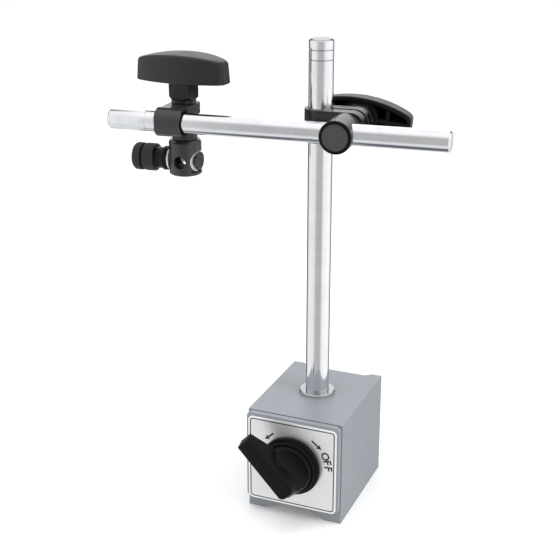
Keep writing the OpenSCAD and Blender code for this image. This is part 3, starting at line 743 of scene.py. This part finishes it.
def wing(name, matrix, half_length, half_width, height, dome, hex_turn=0.0):
    """Hollow lens-shaped knob with drafted sides, rounded shoulders, a domed top and ribs inside."""
    side_r = (half_length ** 2 + (half_width - TIP) ** 2) / (2 * (half_width - TIP))
    side_c = side_r - half_width
    dome_r = (half_length ** 2 + dome ** 2) / (2 * dome)
    top = height + dome

    def edge(phi, inset):
        """Radius of the lens outline in a direction, that far in from its side."""
        c, s = math.cos(phi), abs(math.sin(phi))
        side = -s * side_c + math.sqrt((side_r - inset) ** 2 - (c * side_c) ** 2)
        return smooth_min(side, half_length - inset, CORNER_BLEND)

    def roof(r):
        return top - dome_r + math.sqrt(dome_r * dome_r - r * r)

    def corner(phi, inset):
        """(radius, height) where the drafted side meets the dome."""
        z = height
        for _ in range(4):
            z = roof(edge(phi, inset + DRAFT * z))
        return edge(phi, inset + DRAFT * z), z

    def section(phi):
        """(radius, height) from the inner roof's middle, round the rim, to the outer top's middle."""
        _, zi = corner(phi, WALL)
        zi -= WALL
        ri = edge(phi, WALL + DRAFT * zi)
        pts = [(ri * f, roof(ri * f) - WALL) for f in (0.25, 0.5, 0.75, 0.93)]
        pts += [(ri * 0.985, roof(ri) - WALL - 0.12), (ri, zi - 0.9)]
        pts += [(edge(phi, WALL + DRAFT * z), z) for z in (zi * 0.55, 1.4, 0.35)]
        inner, outer = edge(phi, WALL), edge(phi, 0.0)
        pts += [(inner + 0.12, 0.08), (inner + 0.35, 0.0), (outer - 0.5, 0.0), (outer - 0.18, 0.12),
                (outer - 0.02, 0.5)]
        ro, zo = corner(phi, 0.0)
        start = (edge(phi, DRAFT * (zo - SHOULDER)), zo - SHOULDER)
        pts += [(edge(phi, DRAFT * z), z) for z in (1.5, zo * 0.45, zo * 0.7)] + [start]
        end = (ro - SHOULDER, roof(ro - SHOULDER))
        for i in range(1, 8):
            t = i / 8
            pts.append(tuple((1 - t) ** 2 * a + 2 * t * (1 - t) * b + t * t * c
                             for a, b, c in zip(start, (ro, zo), end)))
        pts.append(end)
        pts += [(end[0] * f, roof(end[0] * f)) for f in (0.9, 0.75, 0.55, 0.35, 0.15)]
        return pts

    bm = bmesh.new()
    sections = []
    for i in range(WING_STEPS):
        t = TAU * i / WING_STEPS
        phi = math.atan2(half_width * math.sin(t), half_length * math.cos(t))
        x, y = math.cos(phi) * MM, math.sin(phi) * MM
        sections.append([bm.verts.new((r * x, r * y, z * MM)) for r, z in section(phi)])
    under, over = bm.verts.new((0, 0, (top - WALL) * MM)), bm.verts.new((0, 0, top * MM))
    for a, c in zip(sections, sections[1:] + sections[:1]):
        for j in range(len(a) - 1):
            bm.faces.new((a[j], a[j + 1], c[j + 1], c[j]))
        bm.faces.new((under, a[0], c[0]))
        bm.faces.new((over, c[-1], a[-1]))
    bmesh.ops.recalc_face_normals(bm, faces=bm.faces)
    o = new_obj(name, bm, M_KNOB)

    hub = [(0.8, 0), (0.8, HUB_R - 0.4), (1.2, HUB_R), (top - 1.3, HUB_R), (top - 1.3, 0)]
    boolean(o, revolve("tool", hub, Matrix.Identity(4), M_KNOB), "UNION")
    boolean(o, slab(2 * half_length - 3.0, SPINE, 8.6, (0, 0, 5.5)), "UNION")
    rib_half = math.sqrt((side_r - 1.4) ** 2 - RIB_AT ** 2) - side_c
    for side in (-1, 1):
        boolean(o, slab(RIB, 2 * rib_half - 1.4, 9.2, (side * RIB_AT, 0, 5.8)), "UNION")
    boolean(o, prism(hexagon(HEX_R, hex_turn), -1, 7.1), "DIFFERENCE")
    thread = [(5, 0), (5, THREAD_R), (12, THREAD_R), (12, 0)]
    boolean(o, revolve("tool", thread, Matrix.Identity(4), M_KNOB, 48), "DIFFERENCE")
    # faces in the hollow take the darker copy, painted shade
    set_materials(o, M_KNOB, M_KNOB_SHADED_IN)
    for f in o.data.polygons:
        c = f.center / MM
        r, phi = math.hypot(c.x, c.y), math.atan2(c.y, c.x)
        inside = r < edge(phi, WALL / 2 + DRAFT * c.z) and c.z < roof(min(r, half_length)) - WALL / 2
        f.material_index = int(inside)
    o.data.transform(matrix)
    finish_mesh(o)
    return o


screw = Vector(next(j for j in frame["joints"] if j["name"] == "main_knob_turn")["pos_m"])
main_m = basis(U, -Z, V, U * U.dot(screw) + V * span("main_knob_wing", V)[0] * MM + Z * ARM_C.z)
main_wing = wing("main_wing", main_m @ Matrix.Rotation(math.radians(6), 4, "Z"), 26.0, 10.2, 10.3, 3.5)
place(main_wing, "main_knob", "knob_plastic", ("main_knob_wing",))
end_m = basis(U, V, Z, Vector((STUD_C.x, STUD_C.y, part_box("end_knob_wing")[0].z)))
end_wing = wing("end_wing", end_m @ Matrix.Rotation(math.radians(-6), 4, "Z"), 24.0, 10.0, 10.3, 3.5, 13.0)
place(end_wing, "end_knob", "knob_plastic", ("end_knob_wing",))

# ------------------------------------------------------------------ switch handle
HANDLE_TURN = math.radians(-45)                      # the lever points up and to the left
BOSS_FACE, TAIL_DEPTH, TAIL_R = 9.2, 14.32, 3.4
TAIL_SLOPE = math.atan(3.3 / 12.8)
LEVER_BEVEL, ROOT_BEVEL, BOSS_FILLET = 0.75, 0.5, 0.22
ROOT_R, SCOOP_R, SQUARE = 12.1, 7.4, 8.1
SIDE_ON = Matrix.Rotation(math.radians(-90), 4, "Y")      # outline in (z, y), pushed along x


def fillet(points, r, steps=4):
    """The profile with every corner between its ends rounded."""
    out = [points[0]]
    for before, at, after in zip(points, points[1:], points[2:]):
        m = Vector(at)
        back, ahead = Vector(before) - m, Vector(after) - m
        q = min(r, back.length * 0.45, ahead.length * 0.45)
        start, end = m + back.normalized() * q, m + ahead.normalized() * q
        for i in range(steps + 1):
            t = i / steps
            out.append(tuple(start * (1 - t) ** 2 + m * 2 * t * (1 - t) + end * t * t))
    return out + [points[-1]]


def lever():
    """The grip: its side outline cut by its plan and by a slope with rounded edges at the tail."""
    side = [(25.0, -24), (26.1, -17.9), (11.4, -11), (11, -BOSS_FACE), (-10.9, -BOSS_FACE), (-11.9, -11.2),
            (-8.6, -24)]
    plan = [(-3.3, 28), (3.3, 28), (4.7, -9), (4.95, -14), (-4.95, -14), (-4.7, -9)]
    tail_y = TAIL_R - TAIL_DEPTH
    tail = arc(-1.6, tail_y, TAIL_R, 180, 270, 10) + arc(1.6, tail_y, TAIL_R, 270, 360, 10)
    tail += [(5, 60), (-5, 60)]
    o = prism(side, -9, 9, SIDE_ON)
    boolean(o, prism(plan, 0, 40, ON_END), "INTERSECT")
    boolean(o, prism(tail, -40, 40, Matrix.Rotation(math.radians(90) - TAIL_SLOPE, 4, "X")), "INTERSECT")
    bevel(o, LEVER_BEVEL, 4, 28)
    apply_modifiers(o)
    return o


def lever_root():
    """Round block under the grip, hollowed on both sides."""
    scoop = [(-11, -BOSS_FACE), (11, -BOSS_FACE)]
    scoop += arc(11.6, -18.6, SCOOP_R, 95, 180, 14) + arc(-11.6, -18.6, SCOOP_R, 0, 85, 14)
    side = [(13.2, -12), (12.4, -8), (-11, -8), (-11.9, -11.2), (-10, -19), (7, -19)]
    disc = [(BOSS_FACE, 0), (BOSS_FACE, ROOT_R), (18.6, ROOT_R), (18.6, 0)]
    o = revolve("tool", disc, ON_END, M_SWITCH, 128)
    boolean(o, prism(scoop, -12, 12), "INTERSECT")
    boolean(o, prism(side, -12.5, 12.5, SIDE_ON), "INTERSECT")
    bevel(o, ROOT_BEVEL, 3, 30)
    apply_modifiers(o)
    return o


boss = [(4.5, 0), (4.5, 14.9), (5.0, 15.5), (6.4, 15.5), (6.9, 15.2), (7.1, 13.9), (8.7, 13.8), (9.2, 13.3),
        (8.8, 12.9), (8.8, 12.6), (11.1, 12.5), (11.6, 12.0), (11.6, 11.3), (10.7, 10.4), (10.7, 0)]
handle = revolve("handle", fillet(boss, BOSS_FILLET), ON_END, M_SWITCH, 144)
boolean(handle, lever_root(), "UNION")
boolean(handle, lever(), "UNION")
boolean(handle, slab(SQUARE, SQUARE + 0.1, SQUARE, (0, -8.9, 0)), "DIFFERENCE")
handle.data.transform(basis(X, Y, Z, Vector((0, FRONT_Y, SWITCH_Z))) @ Matrix.Rotation(HANDLE_TURN, 4, "Y"))
set_materials(handle, M_SWITCH)
finish_mesh(handle, 38)
place(handle, "switch", "switch_plastic", ("switch_handle",))

# ------------------------------------------------------------------ knurled nut
KNURL_TEETH, KNURL_DEPTH, KNURL_STEP = 46, 0.26, 0.157
NUT_BORE_R, NECK_R, GROOVE_R = 2.55, 5.3, 6.0


def knurled(start, end):
    """Rows of a knurled band, close enough together to show its diamonds."""
    rows = []
    while start < end:
        rows.append((start, NUT_R))
        start += KNURL_STEP
    return rows


def diamond(a, h, r):
    """Radius with two families of grooves crossing, on the knurled rows only."""
    if r < NUT_R:
        return r
    pitch = TAU * NUT_R / KNURL_TEETH
    u, v = KNURL_TEETH * a / TAU + h / pitch, KNURL_TEETH * a / TAU - h / pitch
    t = min(1 - abs(2 * (u % 1) - 1), 1 - abs(2 * (v % 1) - 1))
    return r - KNURL_DEPTH * (1 - min(1.0, t * 1.25))


# (distance from the flange's face, radius)
nut_profile = [(16, NUT_BORE_R), (0, NUT_BORE_R), (0, 5.7), (0.2, 5.9), (0.9, 5.9), (1.1, 5.6), (1.4, 5.6),
               (1.6, 6.0), (2.3, 6.0), (2.5, 5.8), (2.5, NECK_R + 0.05), (2.7, NECK_R), (6.2, NECK_R),
               (6.35, NECK_R + 0.1), (6.35, 6.0), (6.75, 6.6)]
nut_profile += knurled(7.0, 12.15)
nut_profile += [(12.4, 6.7), (12.8, 6.3), (12.8, GROOVE_R), (13.8, GROOVE_R), (13.8, 6.6)]
nut_profile += knurled(14.0, 16.95)
nut_profile += [(17.3, 6.75), (17.8, 6.45), (18.15, 6.1), (18.3, 5.7), (18.3, 1.2), (18.0, 0.6), (18.0, 0),
                (16, 0)]
nut_face = span("knurled_nut", U)[1] - U.dot(STUD_C) / MM
nut = revolve("knurled_nut_turned", [(nut_face - d, r) for d, r in nut_profile], SPACE["stem"], M_NUT,
              6 * KNURL_TEETH, diamond)
finish_mesh(nut, 50)
place(nut, "knurled_nut", "black_oxide", ("knurled_nut",))

# ------------------------------------------------------------------ nameplate print
INK, SINK = 0.03, 0.02                      # mm that the print stands above the plate, and goes into it
BORDER_IN, BORDER_R, BORDER_LINE = 0.95, 2.0, 0.55
ARROW_HALF, HEAD_HALF, HEAD_LENGTH = 0.45, 1.45, 2.3
WORD_R, LETTER = 19.3, 5.6


def at_plate(x, z, turn=0.0):
    """Frame on the plate's face, x and z mm from the switch's axis: x right, y up, z outwards."""
    m = basis(X, Z, -Y, Vector((x * MM, PLATE_LO.y, SWITCH_Z + z * MM)))
    return m @ Matrix.Rotation(math.radians(turn), 4, "Z")


def rounded(w, h, r):
    """Outline of a rectangle with round corners."""
    points = []
    for i, (sx, sy) in enumerate(((1, 1), (-1, 1), (-1, -1), (1, -1))):
        points += arc(sx * (w / 2 - r), sy * (h / 2 - r), r, 90 * i, 90 * i + 90, 8)
    return points


def border(name, w, h, r, line, matrix):
    """Flat raised line round a rectangle with round corners."""
    outer, inner = rounded(w, h, r), rounded(w - 2 * line, h - 2 * line, r - line)
    bm = bmesh.new()
    loops = [[bm.verts.new((x * MM, y * MM, z * MM)) for x, y in points]
             for points, z in ((outer, -SINK), (outer, INK), (inner, INK), (inner, -SINK))]
    n = len(outer)
    for p, q in zip(loops, loops[1:] + loops[:1]):
        for i in range(n):
            j = (i + 1) % n
            bm.faces.new((p[i], p[j], q[j], q[i]))
    bmesh.ops.recalc_face_normals(bm, faces=bm.faces)
    bm.transform(matrix)
    return new_obj(name, bm, M_INK, False)


def arrow(name, tail, tip):
    """Printed arrow between two points of the plate."""
    a, b = Vector(tail), Vector(tip)
    along = (b - a).normalized()
    across = Vector((-along.y, along.x))
    neck = b - along * HEAD_LENGTH
    barb = neck - along * 0.3
    half = [a + across * ARROW_HALF, neck + across * ARROW_HALF, barb + across * HEAD_HALF]
    other = [barb - across * HEAD_HALF, neck - across * ARROW_HALF, a - across * ARROW_HALF]
    o = prism([tuple(p) for p in half + [b] + other], -SINK, INK, at_plate(0, 0), name, [M_INK])
    for f in o.data.polygons:
        f.use_smooth = False
    place(o, "base", "switch_plastic")


def letter(name, text, turn):
    """A letter on the circle of the words, turn degrees round from the right."""
    curve = bpy.data.curves.new(name, "FONT")
    curve.body, curve.size, curve.align_x, curve.align_y = text, LETTER * MM, "CENTER", "CENTER"
    curve.extrude, curve.offset, curve.resolution_u = SINK * MM, LETTER * MM * 0.03, 6
    o = bpy.data.objects.new(name, curve)
    scene.collection.objects.link(o)
    bpy.context.view_layer.update()
    me = bpy.data.meshes.new_from_object(o)
    bpy.data.objects.remove(o)
    a = math.radians(turn)
    me.transform(at_plate(WORD_R * math.cos(a), WORD_R * math.sin(a), turn - 90))
    place(new_obj(name, me, M_INK, False), "base", "switch_plastic")


plate_w, plate_h = (PLATE_HI.x - PLATE_LO.x) / MM, (PLATE_HI.z - PLATE_LO.z) / MM
plate_mid = ((PLATE_LO.z + PLATE_HI.z) / 2 - SWITCH_Z) / MM
place(border("border_line", plate_w - 2 * BORDER_IN, plate_h - 2 * BORDER_IN, BORDER_R, BORDER_LINE,
             at_plate(0, plate_mid)), "base", "switch_plastic")
arrow("arrow_right", (10.6, 15.3), (15.7, 11.3))
arrow("arrow_left", (-9.7, 15.3), (-14.3, 11.3))
for i, text in enumerate("OFF"):
    letter("mark_off_%d" % i, text, 24.5 - 9.8 * i)
for i, text in enumerate("ON"):
    letter("mark_on_%d" % i, text, 166.5 - 11.0 * i)

# ------------------------------------------------------------------ stage, light, camera
CAMERA_AT = (0.18232, -0.48667, 0.30885)
CAMERA_TURN, CAMERA_TILT = math.radians(22.66), math.radians(20.32)
FLOOR_SIZE, FLOOR_DROP = 6.0, 0.05 * MM

bm = bmesh.new()
bmesh.ops.create_grid(bm, x_segments=2, y_segments=2, size=FLOOR_SIZE)
for v in bm.verts:
    v.co.z = -FLOOR_DROP
paper = Mat("floor")
patches = paper.math("MULTIPLY", paper.noise(paper.obj, 1.3, 3.0), 0.02)
paper.set(color=paper.mix(patches, (0.93, 0.93, 0.93), (0.88, 0.88, 0.88)), rough=0.9, spec=0.1)
floor = new_obj("floor", bm, paper.material, False)
floor.visible_glossy = False


class WorldNodes(Mat):
    """The same node helpers, for the world."""

    def __init__(self, tree):
        self.tree = tree


def ramp(m, fac, stops):
    """Grey level along fac, straight between the stops."""
    n = m.node("ShaderNodeValToRGB")
    e = n.color_ramp.elements
    while len(e) > 1:
        e.remove(e[-1])
    e[0].position = stops[0][0]
    e[0].color = (*[stops[0][1]] * 3, 1)
    for at, level in stops[1:]:
        e.new(at).color = (*[level] * 3, 1)
    m.put(n.inputs[0], fac)
    return n.outputs[0]


world = bpy.data.worlds.new("studio")
scene.world = world
world.use_nodes = True
world.node_tree.nodes.clear()
w = WorldNodes(world.node_tree)
background = w.node("ShaderNodeBackground")
w.put(w.node("ShaderNodeOutputWorld").inputs[0], background.outputs[0])

# what the metal mirrors: soft boxes left and right, a grey gap at the front, dark gaps towards the back,
# a brighter wall straight behind above the horizon, and a big light overhead
front = CAMERA_TURN - math.radians(90)
dx, dy, dz = w.split(w.node("ShaderNodeTexCoord").outputs["Generated"])[0:3]
ahead = w.math("ADD", w.math("MULTIPLY", dx, math.cos(front)), w.math("MULTIPLY", dy, math.sin(front)))
beside = w.math("ADD", w.math("MULTIPLY", dx, -math.sin(front)), w.math("MULTIPLY", dy, math.cos(front)))
turn = w.math("DIVIDE", w.math("ABSOLUTE", w.math("ARCTAN2", beside, ahead)), math.pi)
right = ramp(w, turn, [(0.0, 0.55), (0.09, 0.57), (0.19, 1.10), (0.52, 1.25), (0.67, 1.05), (0.72, 0.12),
                       (0.78, 0.06), (0.83, 0.75), (1.0, 0.85)])
left = ramp(w, turn, [(0.0, 0.55), (0.16, 0.57), (0.28, 0.98), (0.55, 1.05), (0.69, 0.9), (0.74, 0.10),
                      (0.85, 0.06), (0.91, 0.75), (1.0, 0.85)])
light = w.mix(w.remap(beside, -0.02, 0.02, 0.0, 1.0), left, right)
behind = w.remap(turn, 0.80, 0.90, 0.0, 1.0, True)
behind = w.math("MULTIPLY", behind, w.remap(dz, 0.08, 0.22, 0.0, 1.0, True))
light = w.mix(behind, light, (1.40, 1.40, 1.42))
light = w.mix(w.remap(dz, 0.52, 0.95, 0.0, 1.0, True), light, (1.22, 1.22, 1.22))

# pale below, as a floor would be, and dark straight down
light = w.mix(w.remap(dz, -0.45, -0.70, 0.0, 1.0, True), light, (0.90, 0.91, 0.93))
light = w.mix(w.remap(dz, -0.86, -0.97, 0.0, 1.0, True), light, (0.16, 0.16, 0.18))

# the backdrop that the camera sees is plain
camera_ray = w.node("ShaderNodeLightPath").outputs["Is Camera Ray"]
w.put(background.inputs["Color"], w.mix(camera_ray, light, (0.955, 0.955, 0.955)))


def lamp(name, at, target, size, power):
    """Square soft light that leaves no reflection of its own."""
    d = bpy.data.lights.new(name, "AREA")
    d.energy, d.size = power, size
    o = bpy.data.objects.new(name, d)
    scene.collection.objects.link(o)
    o.location = at
    o.rotation_mode = "QUATERNION"
    o.rotation_quaternion = (Vector(target) - Vector(at)).to_track_quat("-Z", "Y")
    o.visible_glossy = False


lamp("key", (1.1, -0.25, 0.75), (0, 0, 0.08), 0.7, 7.0)
lamp("top", (-0.15, -0.35, 1.4), (0, 0, 0.1), 1.0, 7.0)

camera = bpy.data.cameras.new("camera")
camera.sensor_width, camera.lens = 36, 71.43
camera.clip_start, camera.clip_end = 0.05, 30
camera_obj = bpy.data.objects.new("camera", camera)
scene.collection.objects.link(camera_obj)
camera_obj.location = CAMERA_AT
back = Vector((math.sin(CAMERA_TURN) * math.cos(CAMERA_TILT), -math.cos(CAMERA_TURN) * math.cos(CAMERA_TILT),
               math.sin(CAMERA_TILT)))
camera_obj.rotation_mode = "QUATERNION"
camera_obj.rotation_quaternion = (-back).to_track_quat("-Z", "Y")
scene.camera = camera_obj
scene.view_settings.view_transform = "Standard"
